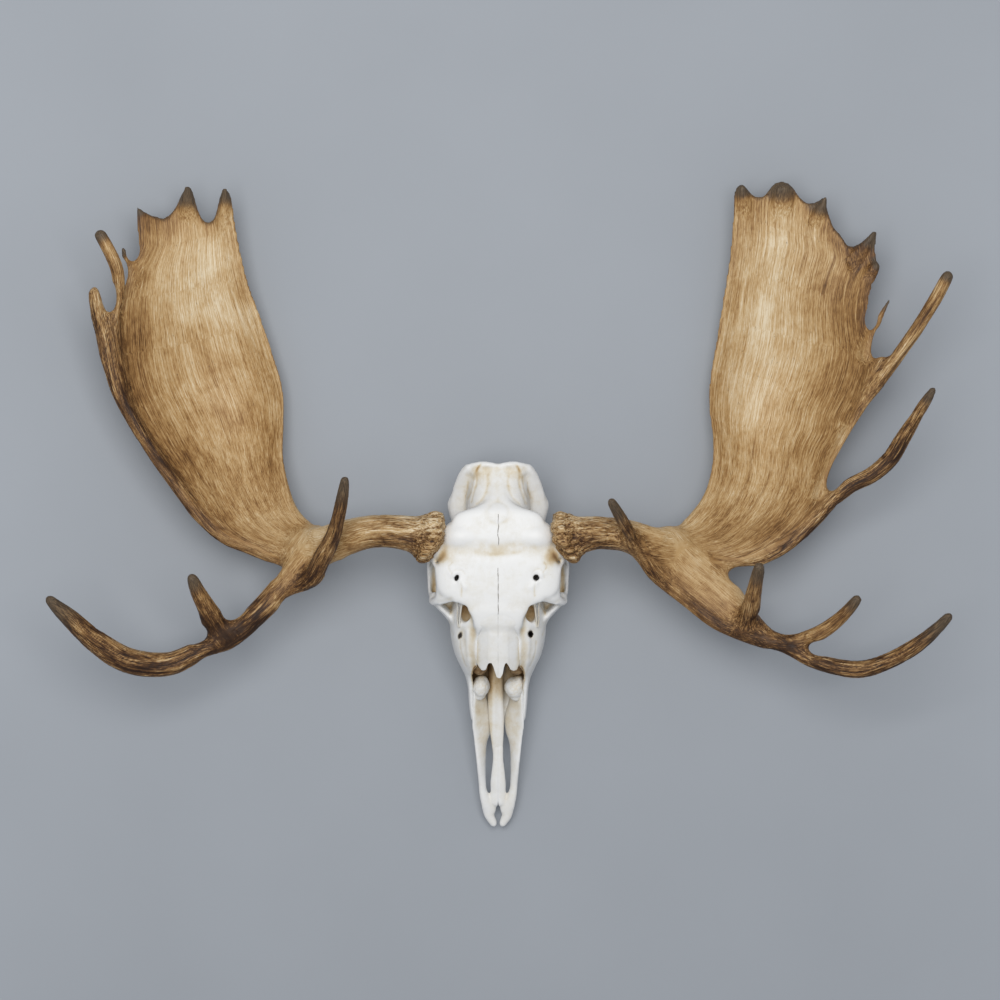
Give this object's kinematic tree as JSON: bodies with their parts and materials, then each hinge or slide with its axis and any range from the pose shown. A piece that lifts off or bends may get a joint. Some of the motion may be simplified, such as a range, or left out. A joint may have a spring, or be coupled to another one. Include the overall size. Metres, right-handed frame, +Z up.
{
  "type": "moose skull with antlers",
  "caption": "Cleaned bull moose skull without lower jaw, both palmate antlers attached, lying on its cheek teeth and the backs of its palms.",
  "frame": {"origin": "on the resting surface, under the middle of the bounding box in x and y", "axes": "+X to the animal's own left, +Y from the nose towards the back of the skull, +Z up from the resting surface"},
  "size_m": [1.3875, 1.0225, 0.2867],
  "materials": {
    "bone": "satin",
    "inner_bone": "matte",
    "enamel": "satin",
    "antler": "satin"
  },
  "bodies": {
    "root": {"cranium": "bone", "vomer": "inner_bone", "left_nasal": "bone", "left_premaxilla": "bone", "left_turbinate": "inner_bone", "left_premolar_2": "enamel", "left_premolar_3": "enamel", "left_premolar_4": "enamel", "left_molar_1": "enamel", "left_molar_2": "enamel", "left_molar_3": "enamel", "right_nasal": "bone", "right_premaxilla": "bone", "right_turbinate": "inner_bone", "right_premolar_2": "enamel", "right_premolar_3": "enamel", "right_premolar_4": "enamel", "right_molar_1": "enamel", "right_molar_2": "enamel", "right_molar_3": "enamel", "right_beam": "antler", "right_palm": "antler", "right_brow_branch": "antler", "right_palm_tine_rear": "antler", "right_palm_tine_front": "antler", "right_brow_tine_inner": "antler", "right_brow_tine_middle": "antler", "right_brow_tine_outer": "antler", "left_beam": "antler", "left_palm": "antler", "left_brow_branch": "antler", "left_palm_tine_rear": "antler", "left_palm_tine_front": "antler", "left_brow_tine_inner": "antler", "left_brow_tine_upright": "antler", "left_brow_tine_middle": "antler", "left_brow_tine_outer": "antler"}
  },
  "joints": []
}
